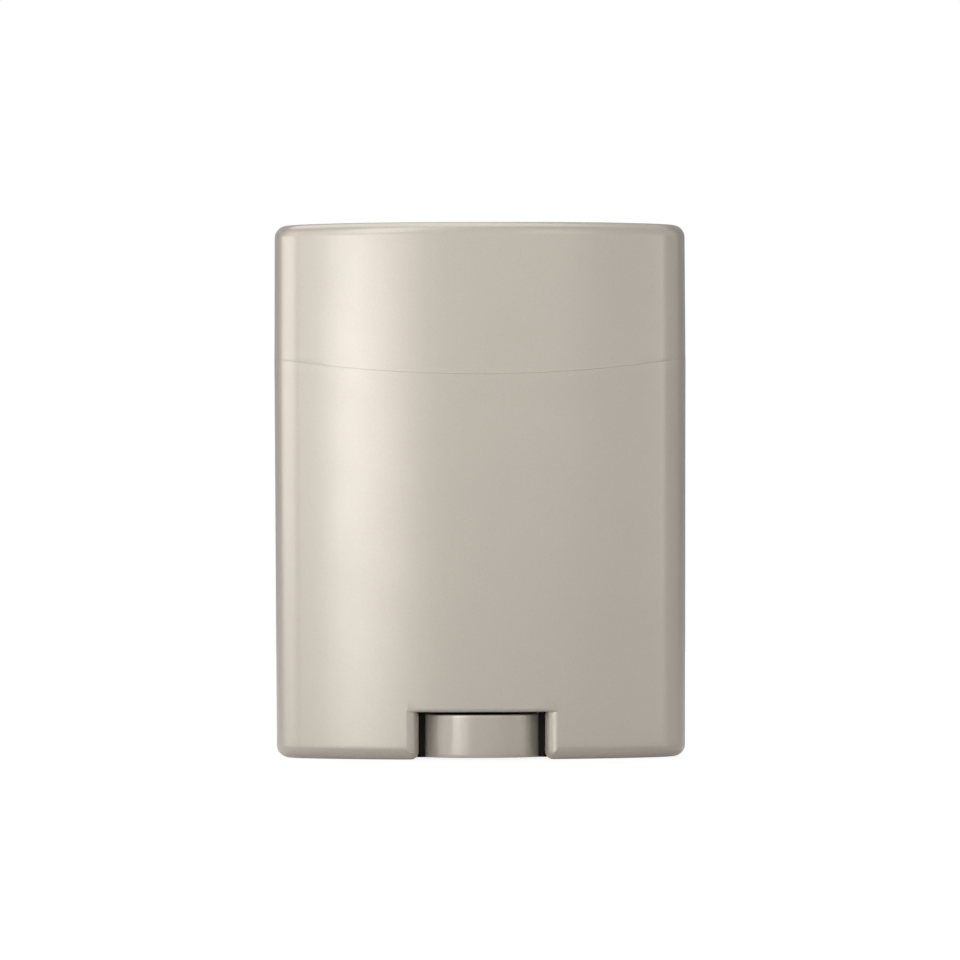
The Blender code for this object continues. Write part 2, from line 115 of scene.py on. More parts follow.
# Fine details of the looks
seam_line = 0.000002  # the open line between the painted rims
cap_rim_rounding = 0.000015
top_crown = 0.00025  # the cap's top is this much lower at its ends than in the middle
foot_crown = 0.00014  # the feet's underside is this much higher at its ends than in the middle
rim_rounding = 0.000035  # of the body's rim, and of the liner's foot and the barrel's shoulder
dish_radius = 0.0056  # a shallow dish in the dial's underside
dish_depth = 0.00022
gate_radius = 0.0006  # the mould's gate mark in the middle of the dish
gate_height = 0.00012
cutter_clear = 0.00002  # the ceiling's rounding fades out this far off the face
dial_rim_rounding = 0.00016
dial_drop = 0.00008  # the dial sits this much lower than its solid
# The collar is near black: painted shade where the spindle would show above the dial's hub.
collar_gap = 0.0001  # between the dial's hub and the dark collar round the spindle
bar_edge = 0.0005  # rounding of the bar's rim
window_relief = 0.00025  # the ends of the well's wall are thinned from this far inside its inner face

# Counts of the fine meshes
front_steps = 112
side_steps = 52
fillet_steps = 10
heel_steps = 4
bead_steps = 8
round_steps = 160
wall_steps = 16
dial_wall_steps = 6
flag_steps = 24
roof_shares = (0.97, 0.9, 0.7, 0.4, 0.1)
dome_shares = (0.97, 0.92, 0.84, 0.74, 0.62, 0.5, 0.38, 0.26, 0.15, 0.06)
sharp_angle = radians(11)

# Derived outline
side_centre = half_width - side_radius
front_radius = (side_centre**2 + half_depth**2 - side_radius**2) / (2 * (half_depth - side_radius))
front_centre = front_radius - half_depth
front_half_angle = asin(side_centre / (front_radius - side_radius))

# Derived insets
liner_outer = cap_wall + fit_gap
liner_inner = liner_outer + liner_wall
neck_inset = liner_inner + cap_gap
bore_inset = neck_inset + neck_wall
barrel_inset = body_wall + fit_gap
bar_inset = bore_inset + fit_gap

# Derived heights
seam_height = cap_low.z - seam_gap
seam_rise = body_high.z - seam_height
notch_top = dial_top + notch_head_gap
plate_bottom = dial_top + running_gap
plate_top = plate_bottom + housing_plate
cheek_top = plate_bottom - fit_gap
barrel_floor_top = barrel_bottom + barrel_floor
bar_top = mouth - bar_recess
liner_ceiling = overall_height - cap_top - fit_gap - liner_wall
neck_bead = mouth - neck_bead_drop
liner_bead = neck_bead - liner_bead_drop

# Derived radii, and the half width of the notches
notch_half = window_half + notch_side_gap
well_inner = dial_radius + well_gap
well_outer = well_inner + housing_wall
well_hole = well_outer + fit_gap
shaft_hole = screw_root + running_gap
seal_seat_radius = screw_root + ring_section + 2 * fit_gap
seal_seat_depth = ring_section + fit_gap

# Camera, from the photograph: its frame, where the axis and the horizon lie in it, and its scale
image_side = 960
axis_x_px = 480.35
horizon_y_px = 484.9
px_per_m = 7213.0
camera_distance = 1.1
camera_azimuth = radians(-0.8)
camera_roll = radians(-0.15)
eye_height = 0.03775
sensor_width = 36.0  # millimetres, as the lens is
camera_reach = 20

# Light: brightness 1 is a white card's
white = (1, 1, 1)
ambient = 0.15
matt_roughness = 0.9  # of the floor and the flags
floor_tone = 0.9
floor_share = 0.2  # the camera sees this share of the floor's own light and shadow, and white for the rest
floor_glow = 1.11
floor_in_gloss = 0.27  # the share of the floor's white that glossy surfaces show
floor_near = 0.68  # the camera sees the floor this far out, inside the lamps, and the white world beyond
floor_far = 4
floor_bottom = -0.0002
cool_white = (0.96, 0.985, 1.03)
cool_lamps = ("key_strip", "key_edge")
lamps_without_gloss = ("rear_fill",)
flag_tone = 0.18
flag_glow = 0.26
flag_distance = 0.45
flag_back = 1.01  # the flags' back lies this many times as far out as their front
flag_foot = 0.0005
flag_top = 0.5
flags = (
    # name, azimuth of the near edge and of the far edge
    ("dark_flag_left", radians(-116), radians(-176)),
    ("dark_flag_right", radians(112), radians(176)),
)
lamp_distance = 0.7
lamps = (
    # name, azimuth from the front towards the right, elevation, width, height, brightness
    ("key_strip", radians(-37), radians(1.6), 0.15, 0.11, 6.0),
    ("key_edge", radians(-55), radians(1.6), 0.13, 0.11, 1.8),
    ("front_left_strip", radians(-24.5), radians(1.6), 0.11, 0.11, 3.5),
    ("front_strip", 0, radians(2.6), 0.45, 0.11, 0.8),
    ("front_right_strip", radians(36), radians(2.6), 0.45, 0.11, 0.6),
    ("side_right_strip", radians(60), radians(2.6), 0.15, 0.11, 1.4),
    ("side_left_strip", radians(-90), radians(2.6), 0.58, 0.11, 2.4),
    ("high_left", radians(-42), radians(22), 0.44, 0.42, 0.55),
    ("high_key", radians(-33), radians(40), 0.2, 0.6, 1.8),
    ("high_front", radians(3), radians(22), 0.6, 0.42, 0.33),
    ("brow_strip", radians(-10), radians(51), 0.8, 0.16, 0.35),
    ("high_side_left", radians(-78), radians(22), 0.45, 0.42, 0.8),
    ("high_right", radians(24), radians(22), 0.15, 0.42, 0.6),
    ("rear_fill", pi, radians(20), 1.0, 0.6, 1.8),
    ("overhead", radians(-145), radians(72), 0.5, 0.9, 1.15),
)


def seam_arc(x):
    """How much higher the seam is at x than at the middle of the front."""
    sweep_radius = (half_width**2 + seam_rise**2) / (2 * seam_rise)
    return sweep_radius - sqrt(max(sweep_radius**2 - x**2, 0))


def crown(x):
    """How far the bow of the top and the feet has gone at x: 0 in the middle, 1 at the ends."""
    return (x / half_width) ** 4


def top_bow(x):
    return -top_crown * crown(x)


def foot_bow(x):
    return foot_crown * crown(x)


def body_inset(z):
    """The body's draft: its face leans in towards the feet."""
    return body_draft * (1 - z / (seam_height + seam_rise))


def cap_inset(z):
    """The cap's draft: its face leans in towards the top."""
    return cap_draft * (z - seam_height) / (overall_height - seam_height)


def arc(centre_x, centre_y, radius, start, end, steps):
    """Points of an arc without its last one."""
    angles = [start + (end - start) * step / steps for step in range(steps)]
    return [(centre_x + radius * cos(angle), centre_y + radius * sin(angle)) for angle in angles]


def oval(inset):
    """The plan outline, anticlockwise, drawn in by an inset."""
    turn = pi / 2 - front_half_angle
    side = side_radius - inset
    front = front_radius - inset
    right_side = arc(side_centre, 0, side, -turn, turn, side_steps)
    back = arc(0, -front_centre, front, turn, pi - turn, front_steps)
    left_side = arc(-side_centre, 0, side, pi - turn, pi + turn, side_steps)
    face = arc(0, front_centre, front, pi + turn, 2 * pi - turn, front_steps)
    return right_side + back + left_side + face


def oval_ring(inset, height, lift=None):
    """A closed ring of the plan outline, level or lifted by a function of x."""
    return [(x, y, height + (lift(x) if lift else 0)) for x, y in oval(inset)]


def circle_ring(radius, height, steps=round_steps):
    return [(x, y, height) for x, y in arc(0, 0, radius, 0, 2 * pi, steps)]


def square_ring(width, height, steps=round_steps):
    """A square with as many points as a circle, so that the two can be joined."""
    ring = []
    for x, y in arc(0, 0, 1, 0, 2 * pi, steps):
        reach = width / 2 / max(abs(x), abs(y))
        ring.append((x * reach, y * reach, height))
    return ring


def shrunk(ring, shares=roof_shares):
    """Copies of a ring drawn towards the axis, to close a flat face evenly."""
    return [[(x * share, y * share, z) for x, y, z in ring] for share in shares]


def bowed(rings, height, lift):
    """The same rings laid at a height and lifted by a function of x."""
    return [[(x, y, height + lift(x)) for x, y, z in ring] for ring in rings]


def turn_corner(start, end, upright_first, steps=fillet_steps):
    """Points (inset, height) of a quarter turn between two points, the first point left out."""
    points = []
    for step in range(1, steps + 1):
        angle = pi / 2 * step / steps
        across, along = (1 - cos(angle), sin(angle)) if upright_first else (sin(angle), 1 - cos(angle))
        points.append((start[0] + (end[0] - start[0]) * across, start[1] + (end[1] - start[1]) * along))
    return points


def bead(inset, height, depth):
    """Points (inset, height) of a low bead round a wall, drawn in by the depth at its middle."""
    angles = [pi * step / bead_steps for step in range(bead_steps + 1)]
    return [(inset + depth * sin(angle), height - bead_height / 2 * cos(angle)) for angle in angles]


def quarter_turn(steps):
    """Pairs (sine, cosine) from 0 to a quarter turn."""
    return [(sin(pi / 2 * step / steps), cos(pi / 2 * step / steps)) for step in range(steps + 1)]


def wall_heights(low, high, steps):
    """Levels of a plain wall between two heights, both left out, closer together near its ends."""
    return [low + (high - low) * (1 - cos(pi * step / steps)) / 2 for step in range(1, steps)]


def finish_mesh(name, builder):
    bmesh.ops.recalc_face_normals(builder, faces=builder.faces)
    mesh = bpy.data.meshes.new(name)
    builder.to_mesh(mesh)
    builder.free()
    item = bpy.data.objects.new(name, mesh)
    bpy.context.scene.collection.objects.link(item)
    return item


def bridge(builder, lower, upper):
    count = len(lower)
    for index in range(count):
        following = (index + 1) % count
        builder.faces.new((lower[index], lower[following], upper[following], upper[index]))


def skin(name, rings, joined=False):
    """A solid through a row of rings, capped at both ends or joined from the last ring to the first."""
    builder = bmesh.new()
    loops = [[builder.verts.new(point) for point in ring] for ring in rings]
    for lower, upper in zip(loops, loops[1:]):
        bridge(builder, lower, upper)
    if joined:
        bridge(builder, loops[-1], loops[0])
    else:
        builder.faces.new(loops[0])
        builder.faces.new(loops[-1])
    return finish_mesh(name, builder)


def block(name, low, high):
    corners = [(low[0], low[1]), (high[0], low[1]), (high[0], high[1]), (low[0], high[1])]
    return skin(name, [[(x, y, z) for x, y in corners] for z in (low[2], high[2])])


def rod(name, radius, bottom, top):
    return skin(name, [circle_ring(radius, bottom), circle_ring(radius, top)])


def combine(target, tool, operation):
    """Cuts or joins with another solid, applies the change and removes the tool."""
    change = target.modifiers.new(tool.name, "BOOLEAN")
    change.operation = operation
    change.object = tool
    graph = bpy.context.evaluated_depsgraph_get()
    mesh = bpy.data.meshes.new_from_object(target.evaluated_get(graph))
    target.modifiers.clear()
    target.data = mesh
    bpy.data.objects.remove(tool, do_unlink=True)


def smooth(item):
    """Smooth shading that lets the large faces keep their own direction beside the small fillets."""
    item.data.shade_smooth()
    item.data.set_sharp_from_angle(angle=sharp_angle)
    weighting = item.modifiers.new("large_faces_lead", "WEIGHTED_NORMAL")
    weighting.keep_sharp = True
    weighting.mode = "FACE_AREA"


def dress(item, material, body, node):
    """Gives a fine piece its finish, its smooth shading and its body, and hides the node it stands for."""
    item.data.materials.clear()
    item.data.materials.append(material)
    smooth(item)
    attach(item, body)
    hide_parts(node)


# Materials: sizes and depths in metres, and tones and gloss ranges as shares of the base value
noise_low = 0.2  # nearly all of a noise lies between these two
noise_high = 0.8

paint_base = (0.50, 0.455, 0.395)
paint_metallic = 0.40
paint_roughness = 0.30
dial_paint_metallic = 0.30
dial_paint_roughness = 0.22
paint_tones = (0.985, 1.015)
paint_cloud_size = 0.014
paint_gloss_range = (0.95, 1.05)
paint_patch_size = 0.006
# painted glint of the flakes: lighter and darker specks, as shares of the paint's colour
flake_glint_tones = (0.95, 1.05)
flake_size = 0.00011
flake_relief_size = 0.00009
flake_relief_depth = 0.0000006
peel_size = 0.0011
peel_depth = 0.0000015

plastic_tones = (0.95, 1.03)
plastic_gloss_range = (0.88, 1.12)
plastic_light_depths = (0.0012, 0.001, 0.0008)
plastics = (
    # name, base, roughness, cloud size, grain size, grain depth, subsurface, specular
    ("natural_plastic", (0.78, 0.76, 0.71), 0.42, 0.02, 0.0003, 0.000002, 0.15, 0.5),
    ("ivory_plastic", (0.80, 0.77, 0.70), 0.3, 0.02, 0.0005, 0.000001, 0.1, 0.5),
    # near black with little gloss: partly the housing's own dark plastic, partly painted shade that keeps
    # the strips beside the dial and the slot above it as dark as deep shade
    ("dark_plastic", (0.004, 0.002, 0.001), 0.6, 0.006, 0.0002, 0.000006, 0, 0.12),
    ("white_acetal", (0.82, 0.82, 0.80), 0.35, 0.01, 0.0004, 0.000001, 0.1, 0.5),
    ("seal_rubber", (0.03, 0.03, 0.03), 0.7, 0.003, 0.0001, 0.000004, 0, 0.5),
)

balm_base = (0.86, 0.82, 0.74)
balm_roughness = 0.42
balm_roughness_range = (0.36, 0.5)  # the roughness itself, not shares of it
balm_tones = (0.97, 1.02)
balm_cloud_size = 0.005
balm_patch_size = 0.0016
balm_subsurface = 0.35
balm_light_depths = (0.0022, 0.0018, 0.0012)
streak_size = 0.0006
streak_stretch = (0.08, 1, 1)
streak_depth = 0.000012
wave_size = 0.0025
wave_depth = 0.00002


def new_material(name, base, roughness, metallic=0.0):
    material = bpy.data.materials.new(name)
    material.use_nodes = True
    shader = material.node_tree.nodes["Principled BSDF"]
    shader.inputs["Base Color"].default_value = (*base, 1)
    shader.inputs["Roughness"].default_value = roughness
    shader.inputs["Metallic"].default_value = metallic
    return material, material.node_tree, shader


def noise(tree, size, detail=2.0, stretch=(1, 1, 1)):
    """A noise field in the object's own space with features of about one size, in metres."""
    place = tree.nodes.new("ShaderNodeTexCoord")
    mapping = tree.nodes.new("ShaderNodeMapping")
    mapping.inputs["Scale"].default_value = stretch
    tree.links.new(place.outputs["Object"], mapping.inputs["Vector"])
    field = tree.nodes.new("ShaderNodeTexNoise")
    field.inputs["Scale"].default_value = 1 / size
    field.inputs["Detail"].default_value = detail
    tree.links.new(mapping.outputs["Vector"], field.inputs["Vector"])
    return field.outputs["Fac"]


def ranged(tree, value, low, high):
    """A noise spread from one value to another."""
    node = tree.nodes.new("ShaderNodeMapRange")
    node.inputs["From Min"].default_value = noise_low
    node.inputs["From Max"].default_value = noise_high
    node.inputs["To Min"].default_value = low
    node.inputs["To Max"].default_value = high
    tree.links.new(value, node.inputs["Value"])
    return node.outputs["Result"]


def colour_mix(tree):
    """A colour mix: its node, its two colour inputs and its colour output."""
    node = tree.nodes.new("ShaderNodeMix")
    node.data_type = "RGBA"
    colours = [socket for socket in node.inputs if socket.type == "RGBA"]
    return node, colours, next(socket for socket in node.outputs if socket.type == "RGBA")


def tinted(tree, value, first, second):
    """A colour between two, chosen by a value."""
    node, colours, result = colour_mix(tree)
    colours[0].default_value = (*first, 1)
    colours[1].default_value = (*second, 1)
    tree.links.new(value, node.inputs[0])
    return result


def multiplied(tree, first, second):
    node, colours, result = colour_mix(tree)
    node.blend_type = "MULTIPLY"
    node.inputs[0].default_value = 1
    tree.links.new(first, colours[0])
    tree.links.new(second, colours[1])
    return result


def bump(tree, height, depth, below=None):
    """A relief of the given depth in metres, on top of another one."""
    node = tree.nodes.new("ShaderNodeBump")
    node.inputs["Strength"].default_value = 1
    node.inputs["Distance"].default_value = depth
    tree.links.new(height, node.inputs["Height"])
    if below:
        tree.links.new(below, node.inputs["Normal"])
    return node.outputs["Normal"]


def scaled(values, share):
    return tuple(value * share for value in values)


def let_light_in(shader, weight, depths):
    """Light goes this far into the material, in metres for red, green and blue."""
    shader.inputs["Subsurface Weight"].default_value = weight
    shader.inputs["Subsurface Radius"].default_value = depths
    shader.inputs["Subsurface Scale"].default_value = 1


def make_paint(name, roughness, metallic):
    """Satin pearl paint: fine flakes whose glints are painted into its colour as lighter and darker specks,
    a faint cloudiness and the spray's orange peel.
    """
    material, tree, shader = new_material(name, paint_base, roughness, metallic)
    cloud = ranged(tree, noise(tree, paint_cloud_size), 0, 1)
    flakes = ranged(tree, noise(tree, flake_size, detail=0), 0, 1)
    tone = tinted(tree, cloud, *(scaled(paint_base, share) for share in paint_tones))
    # painted glint: the flakes' specks in the base colour stand in for their reflections
    glint = tinted(tree, flakes, *(scaled(white, share) for share in flake_glint_tones))
    tree.links.new(multiplied(tree, tone, glint), shader.inputs["Base Color"])
    rough = ranged(tree, noise(tree, paint_patch_size), *scaled(paint_gloss_range, roughness))
    tree.links.new(rough, shader.inputs["Roughness"])
    peel = bump(tree, noise(tree, peel_size, detail=1), peel_depth)
    relief = bump(tree, noise(tree, flake_relief_size, detail=0), flake_relief_depth, peel)
    tree.links.new(relief, shader.inputs["Normal"])
    return material


def make_plastic(name, base, roughness, cloud_size, grain_size, grain_depth, subsurface, specular):
    """Moulded plastic: slight flow clouding, an uneven gloss and a fine tool grain."""
    material, tree, shader = new_material(name, base, roughness)
    cloud = ranged(tree, noise(tree, cloud_size, detail=3), 0, 1)
    tone = tinted(tree, cloud, *(scaled(base, share) for share in plastic_tones))
    tree.links.new(tone, shader.inputs["Base Color"])
    patches = noise(tree, cloud_size / 3, detail=3)
    rough = ranged(tree, patches, *scaled(plastic_gloss_range, roughness))
    tree.links.new(rough, shader.inputs["Roughness"])
    tree.links.new(bump(tree, noise(tree, grain_size), grain_depth), shader.inputs["Normal"])
    shader.inputs["Specular IOR Level"].default_value = specular
    let_light_in(shader, subsurface, plastic_light_depths)
    return material


def make_balm():
    """Pale waxy balm: light goes a little way in, and the wiped face has faint streaks along its width."""
    material, tree, shader = new_material("sunscreen_balm", balm_base, balm_roughness)
    cloud = ranged(tree, noise(tree, balm_cloud_size, detail=4), 0, 1)
    tone = tinted(tree, cloud, *(scaled(balm_base, share) for share in balm_tones))
    tree.links.new(tone, shader.inputs["Base Color"])
    rough = ranged(tree, noise(tree, balm_patch_size, detail=3), *balm_roughness_range)
    tree.links.new(rough, shader.inputs["Roughness"])
    streaks = bump(tree, noise(tree, streak_size, detail=3, stretch=streak_stretch), streak_depth)
    tree.links.new(bump(tree, noise(tree, wave_size), wave_depth, streaks), shader.inputs["Normal"])
    let_light_in(shader, balm_subsurface, balm_light_depths)
    return material


# Pieces


def make_cap():
    rise = overall_height - edge_radius
    rim = seam_height + seam_line
    brink = rim + cap_rim_rounding
    lip = [(0, brink)] + turn_corner((0, brink), (cap_rim_rounding, rim), True, bead_steps)
    lip += [(cap_wall - cap_rim_rounding, rim), (cap_wall, brink)]
    rings = [oval_ring(inset, z, seam_arc) for inset, z in reversed(lip)]
    rings += [oval_ring(cap_inset(z), z) for z in wall_heights(brink + seam_rise, rise, wall_steps)]
    top_edge = cap_inset(rise)
    rings.append(oval_ring(top_edge, rise, top_bow))
    fillet = turn_corner((top_edge, rise), (top_edge + edge_radius, overall_height), True)
    rings += [oval_ring(inset, z, top_bow) for inset, z in fillet]
    rings += bowed(shrunk(rings[-1]), overall_height, top_bow)
    ceiling = overall_height - cap_top
    corner = edge_radius - cap_wall
    hollow = [(cap_wall, ceiling - corner)]
    hollow += turn_corner((cap_wall, ceiling - corner), (cap_wall + corner, ceiling), True)
    inside = [oval_ring(inset, z) for inset, z in hollow]
    inside += shrunk(inside[-1])
    return skin("painted_cap", list(reversed(inside)) + rings)


def make_liner():
    top = liner_ceiling + liner_wall
    corner = edge_radius - cap_wall
    outside = [(liner_outer, top - corner)]
    outside += turn_corner(outside[0], (liner_outer + corner, top), True)
    shell = [oval_ring(inset, z) for inset, z in outside]
    shell += shrunk(shell[-1])
    brink = liner_foot + rim_rounding
    heel = [(liner_outer, brink)]
    heel += turn_corner(heel[0], (liner_outer + rim_rounding, liner_foot), True, heel_steps)
    toe = (liner_inner - rim_rounding, liner_foot)
    heel += turn_corner(toe, (liner_inner, brink), False, heel_steps)
    rim = [oval_ring(inset, z, seam_arc) for inset, z in heel]
    ceiling = [(liner_inner, liner_ceiling - corner)]
    ceiling += turn_corner(ceiling[0], (liner_inner + corner, liner_ceiling), True)
    inside = [oval_ring(inset, z) for inset, z in bead(liner_inner, liner_bead, bead_depth) + ceiling]
    inside += shrunk(inside[-1])
    return skin("moulded_cap_liner", list(reversed(shell)) + rim + inside)


def notch_outline(draw_in, outward):
    """Plan outline of a notch on one face, flared by the rounding of its upright edges."""
    surface = body_inset(notch_top / 2) - notch_crease
    centre_x = notch_half + notch_rounding
    reach = front_radius - surface - notch_rounding
    lean = asin(centre_x / reach)
    centre_y = sqrt(reach**2 - centre_x**2) - front_centre
    radius = notch_rounding - draw_in
    side = [(notch_half + draw_in, 0)]
    side += arc(centre_x, centre_y, radius, pi, pi / 2 - lean, fillet_steps)
    edge = radius + draw_in + overrun
    side.append((centre_x + radius * sin(lean), centre_y + radius * cos(lean)))
    side.append((centre_x + edge * sin(lean), centre_y + edge * cos(lean)))
    side.append((centre_x + edge * sin(lean), half_depth + edge))
    return [(x, outward * y) for x, y in side] + [(-x, outward * y) for x, y in reversed(side)]


def notch_cutter(name, outward):
    """The space of one notch: it widens at its foot, where the lower edges are rounded."""
    levels = [(-overrun, foot_rounding)]
    for along, down in quarter_turn(fillet_steps):
        levels.append((foot_rounding * (1 - down), foot_rounding * (1 - along)))
    levels.append((notch_top, 0))
    rings = [[(x, y, z) for x, y in notch_outline(draw_in, outward)] for z, draw_in in levels]
    return skin(name, rings)


def ceiling_cutter(name, outward):
    """Rounds the edge between the notch's ceiling and the face, less and less towards the corners."""
    surface = front_radius - body_inset(notch_top)
    spread = asin((notch_half + notch_rounding) / surface)
    count = front_steps // 2
    rings = []
    for along, down in quarter_turn(fillet_steps):
        depth = ceiling_rounding * (1 - along)
        height = notch_top + ceiling_rounding * (1 - down)
        band = []
        for step in range(count + 1):
            angle = spread * (2 * step / count - 1)
            fade = min(1, (spread - abs(angle)) / (spread - notch_half / surface))
            radius = surface + cutter_clear - (depth + cutter_clear) * fade
            band.append((radius * sin(angle), radius * cos(angle) - front_centre))
        outside = surface + overrun
        for angle in (spread, -spread):
            band.append((outside * sin(angle), outside * cos(angle) - front_centre))
        rings.append([(x, outward * y, height) for x, y in band])
    foot = [(x, y, notch_top - ceiling_rounding) for x, y, z in rings[0]]
    return skin(name, [foot] + rings)


def add_cheeks(body, outward):
    """Walls that run in from the notch's sides towards the dial's well."""
    inner_end = sqrt(well_hole**2 - notch_half**2) + fit_gap
    outer_end = half_depth - body_wall / 2 - notch_half**2 / front_radius / 2
    ys = sorted((outward * inner_end, outward * outer_end))
    for side in (-1, 1):
        xs = sorted((side * notch_half, side * (notch_half + cheek_wall)))
        cheek = block("cheek", (xs[0], ys[0], foot_floor / 2), (xs[1], ys[1], cheek_top))
        combine(body, cheek, "UNION")


def make_body():
    base = body_inset(0)
    fillet = turn_corner((base + edge_radius, 0), (body_inset(edge_radius), edge_radius), False)
    first = oval_ring(base + edge_radius, 0, foot_bow)
    rings = bowed(reversed(shrunk(first)), 0, foot_bow) + [first]
    rings += [oval_ring(inset, z, foot_bow) for inset, z in fillet]
    low_rim = seam_height - 2 * edge_radius
    rings += [oval_ring(body_inset(z), z) for z in wall_heights(edge_radius, low_rim, wall_steps)]
    rings.append(oval_ring(body_inset(low_rim), low_rim, lambda x: seam_arc(x) / 2))
    rim = [(0, seam_height - edge_radius), (0, seam_height - rim_rounding)]
    rim += turn_corner((0, seam_height - rim_rounding), (rim_rounding, seam_height), True, bead_steps)
    rim += [(body_wall - rim_rounding, seam_height), (body_wall, seam_height - rim_rounding)]
    rings += [oval_ring(inset, z, seam_arc) for inset, z in rim]
    floor = oval_ring(body_wall, foot_floor)
    rings += [floor] + shrunk(floor)
    body = skin("painted_body", rings)
    combine(body, rod("well_opening", well_hole, -overrun, foot_floor + overrun), "DIFFERENCE")
    for outward in (-1, 1):
        add_cheeks(body, outward)
        combine(body, notch_cutter("notch", outward), "DIFFERENCE")
        combine(body, ceiling_cutter("notch_edge", outward), "DIFFERENCE")
    return body


def make_housing():
    join = plate_bottom + housing_plate / 2
    wall = skin(
        "well_wall",
        [
            circle_ring(well_inner, well_lift),
            circle_ring(well_outer, well_lift),
            circle_ring(well_outer, join),
            circle_ring(well_inner, join),
        ],
        joined=True,
    )
    reach = well_outer + overrun
    throat = sqrt(well_inner**2 - window_half**2) - window_relief
    wide = window_half + 2 * (reach - throat)
    quarter = [(wide, -reach), (window_half, -throat), (window_half, throat), (wide, reach)]
    outline = quarter + [(-x, -y) for x, y in quarter]
    windows = skin("well_windows", [[(x, y, z) for x, y in outline] for z in (-overrun, plate_top)])
    combine(wall, windows, "DIFFERENCE")
    plate = oval_ring(barrel_inset, plate_bottom)
    lid = oval_ring(barrel_inset, plate_top)
    # The housing's near-black plastic is partly painted shade in the strips beside the dial.
    housing = skin("dark_base_housing_and_painted_shade", list(reversed(shrunk(plate))) + [plate, lid] + shrunk(lid))
    combine(housing, wall, "UNION")
    hub_top = dial_top - dial_drop - dial_rounding
    # The collar's near-black plastic is painted shade that hides the spindle above the dial's hub.
    collar = rod("spindle_collar", shaft_hole + housing_wall, hub_top + collar_gap, join)
    combine(housing, collar, "UNION")
    way = rod("spindle_way", shaft_hole, plate_bottom - overrun, plate_top + overrun)
    combine(housing, way, "DIFFERENCE")
    return housing


def make_barrel():
    bottom_rim = barrel_inset + neck_wall / 2
    shoulder = seam_height - rim_rounding
    base = oval_ring(bottom_rim, barrel_bottom)
    rings = list(reversed(shrunk(base))) + [base]
    edge = turn_corner((bottom_rim, barrel_bottom), (barrel_inset, barrel_bottom + neck_wall / 2), False)
    rings += [oval_ring(inset, z) for inset, z in edge]
    brink = (barrel_inset, shoulder - rim_rounding)
    rings.append(oval_ring(*brink, seam_arc))
    ledge = turn_corner(brink, (barrel_inset + rim_rounding, shoulder), True)
    rings += [oval_ring(inset, z, seam_arc) for inset, z in ledge]
    root = [(neck_inset - rim_rounding, shoulder)]
    root += turn_corner(root[0], (neck_inset, shoulder + rim_rounding), False, heel_steps)
    rings += [oval_ring(inset, z, seam_arc) for inset, z in root]
    rings += [oval_ring(inset, z) for inset, z in bead(neck_inset, neck_bead, -bead_depth)]
    lip = [(neck_inset, mouth - mouth_rounding)]
    lip += turn_corner(lip[0], (neck_inset + mouth_rounding, mouth), True)
    inner_lip = bore_inset - mouth_rounding / 2
    lip += turn_corner((inner_lip, mouth), (bore_inset, mouth - mouth_rounding / 2), False)
    rings += [oval_ring(inset, z) for inset, z in lip]
    floor = oval_ring(bore_inset, barrel_floor_top)
    rings += [floor] + shrunk(floor)
    barrel = skin("moulded_inner_barrel", rings)
    seat_bottom = barrel_floor_top - seal_seat_depth
    seat = rod("seal_seat", seal_seat_radius, seat_bottom, barrel_floor_top + overrun)
    combine(barrel, seat, "DIFFERENCE")
    bearing = rod("spindle_bearing", shaft_hole, barrel_bottom - overrun, seat_bottom + overrun)
    combine(barrel, bearing, "DIFFERENCE")
    return barrel


def make_dial():
    foot = dial_lift - dial_drop
    top = dial_top - dial_drop
    gate = foot + dish_depth - gate_height
    small = dial_rounding / 2
    profile = [(gate_radius / 4, gate), (gate_radius, gate), (gate_radius, foot + dish_depth)]
    profile += [(dish_radius - dish_depth, foot + dish_depth), (dish_radius, foot)]
    profile += [(dial_radius - small, foot)]
    profile += turn_corner((dial_radius - small, foot), (dial_radius, foot + small), False)
    shoulder = top - dial_rim_rounding
    profile += [(dial_radius, z) for z in wall_heights(foot + small, shoulder, dial_wall_steps)]
    profile += [(dial_radius, shoulder)]
    profile += turn_corner((dial_radius, shoulder), (dial_radius - dial_rim_rounding, top), True)
    hollow = dial_radius - dial_wall
    hollow_bottom = foot + dial_floor
    profile += [(hollow, top), (hollow, hollow_bottom), (hub_radius, hollow_bottom)]
    profile += [(hub_radius, top - dial_rounding), (hub_radius / 2, top - dial_rounding)]
    dial = skin("painted_dial", [circle_ring(radius, z) for radius, z in profile])
    socket_width = drive_width + fit_gap
    socket = [square_ring(socket_width, z) for z in (hollow_bottom, top)]
    combine(dial, skin("drive_socket", socket), "DIFFERENCE")
    return dial


def make_bar():
    reach_x = half_width - bar_inset
    reach_y = half_depth - bar_inset
    base = oval_ring(bar_inset, bar_bottom)
    rings = list(reversed(shrunk(base))) + [base]

    def dome(x, y):
        return bar_top - bar_dome * ((x / reach_x) ** 2 + (y / reach_y) ** 2)

    edge = turn_corner((bar_inset, -bar_edge), (bar_inset + bar_edge, 0), True)
    for inset, drop in [(bar_inset, -bar_edge)] + edge:
        rings.append([(x, y, dome(x, y) + drop) for x, y in oval(inset)])
    rim = rings[-1]
    for share in dome_shares:
        rings.append([(share * x, share * y, dome(share * x, share * y)) for x, y, z in rim])
    bar = skin("balm_bar", rings)
    below = bar_bottom - overrun
    bore = rod("spindle_bore", screw_crest + running_gap, below, bar_top - screw_cover)
    combine(bar, bore, "DIFFERENCE")
    return bar


# Stage


def aim(item, target):
    item.rotation_mode = "QUATERNION"
    item.rotation_quaternion = (target - item.location).to_track_quat("-Z", "Y")


